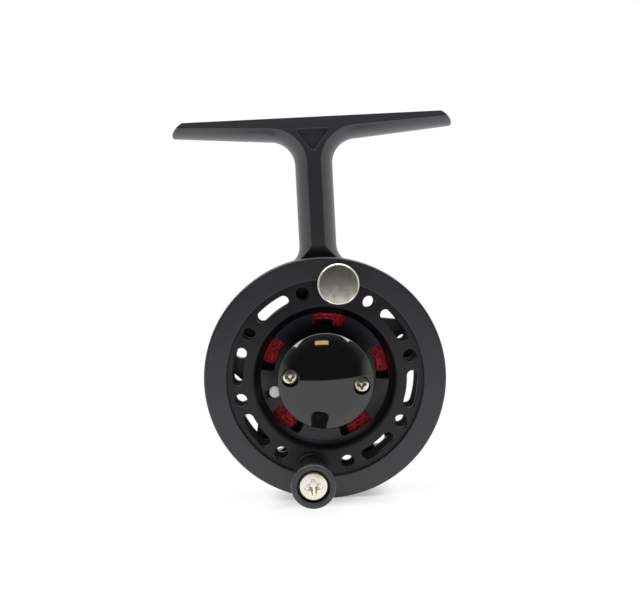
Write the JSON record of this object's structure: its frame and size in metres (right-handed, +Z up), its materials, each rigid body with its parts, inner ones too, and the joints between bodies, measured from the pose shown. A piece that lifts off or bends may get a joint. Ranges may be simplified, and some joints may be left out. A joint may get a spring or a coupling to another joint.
{
  "type": "fly reel",
  "caption": "Small black fly reel on a long stem: ported spool with palming ring, domed hub cap, handle knob, counterweight, click and drag.",
  "frame": {"origin": "centre of the foot's flat seat face, at the top", "axes": "+Z up out of the foot's seat, +X along the foot, the spool turns about Y and its front faces -Y"},
  "size_m": [0.07, 0.0411, 0.0945],
  "materials": {
    "frame_black": "satin black anodised",
    "spool_black": "satin black anodised",
    "cap_gloss": "polished gloss black",
    "knob_black": "smooth black",
    "screw_steel": "bright plated",
    "pin_steel": "bright turned",
    "weight_steel": "turned, polished rim",
    "spindle_steel": "ground",
    "brass": "machined",
    "felt": "pressed felt",
    "red_line": "soft braided line"
  },
  "bodies": {
    "frame_body": {"frame": "frame_black", "spindle": "spindle_steel", "spindle_lock_nut": "spindle_steel", "spindle_washer": "spindle_steel", "spindle_nut": "spindle_steel", "bearing_spacer": "spindle_steel", "front_bearing_inner_race": "spindle_steel", "rear_bearing_inner_race": "spindle_steel", "click_block": "brass", "click_spring": "spindle_steel", "click_screw_left": "screw_steel", "click_screw_right": "screw_steel"},
    "spool_body": {"spool_front_flange": "spool_black", "spool_hub": "spool_black", "spool_back_flange": "spool_black", "line_core": "red_line", "line_winding": "red_line", "line_pin": "pin_steel", "hub_cap": "cap_gloss", "cap_screw_left": "screw_steel", "cap_screw_right": "screw_steel", "front_bearing_outer_race": "spindle_steel", "rear_bearing_outer_race": "spindle_steel", "click_gear": "brass", "handle_sleeve": "spindle_steel", "handle_screw": "screw_steel", "handle_nut": "spindle_steel", "counterweight": "weight_steel", "counterweight_nut": "spindle_steel"},
    "handle_body": {"handle_knob": "knob_black"},
    "front_ball_body": {"front_bearing_balls": "spindle_steel"},
    "rear_ball_body": {"rear_bearing_balls": "spindle_steel"},
    "click_plunger_body": {"click_plunger": "spindle_steel"},
    "drag_plate_body": {"drag_pressure_plate": "spindle_steel", "drag_felt": "felt"},
    "drag_knob_body": {"drag_knob": "knob_black"}
  },
  "joints": [
    {"name": "spool_spin", "type": "hinge", "parent": "frame_body", "child": "spool_body", "pos_m": [0, 0, -0.0645], "axis": [0, 1, 0], "continuous": true},
    {"name": "handle_knob_spin", "type": "hinge", "parent": "spool_body", "child": "handle_body", "pos_m": [-0.00432, 0, -0.0876], "axis": [0, 1, 0], "continuous": true},
    {"name": "front_balls_orbit", "type": "hinge", "parent": "frame_body", "child": "front_ball_body", "pos_m": [0, 0, -0.0645], "axis": [0, 1, 0], "continuous": true},
    {"name": "rear_balls_orbit", "type": "hinge", "parent": "frame_body", "child": "rear_ball_body", "pos_m": [0, 0, -0.0645], "axis": [0, 1, 0], "continuous": true},
    {"name": "click_plunger_lift", "type": "slide", "parent": "frame_body", "child": "click_plunger_body", "axis": [0, 0, 1], "range_m": [0, 0.0006], "stiffness_N_per_m": 150, "springref_m": -0.0005, "deforming": ["click_spring"]},
    {"name": "drag_knob_turn", "type": "hinge", "parent": "frame_body", "child": "drag_knob_body", "pos_m": [0, 0, -0.0645], "axis": [0, -1, 0], "range_deg": [0, 300]},
    {"name": "drag_plate_press", "type": "slide", "parent": "frame_body", "child": "drag_plate_body", "axis": [0, -1, 0], "range_m": [0, 0.00025]}
  ],
  "couplings": [
    {"joint": "front_balls_orbit", "follows": "spool_spin", "ratio": 0.6119},
    {"joint": "rear_balls_orbit", "follows": "spool_spin", "ratio": 0.6119},
    {"joint": "drag_plate_press", "follows": "drag_knob_turn", "m_per_rad": 0.0000477}
  ]
}
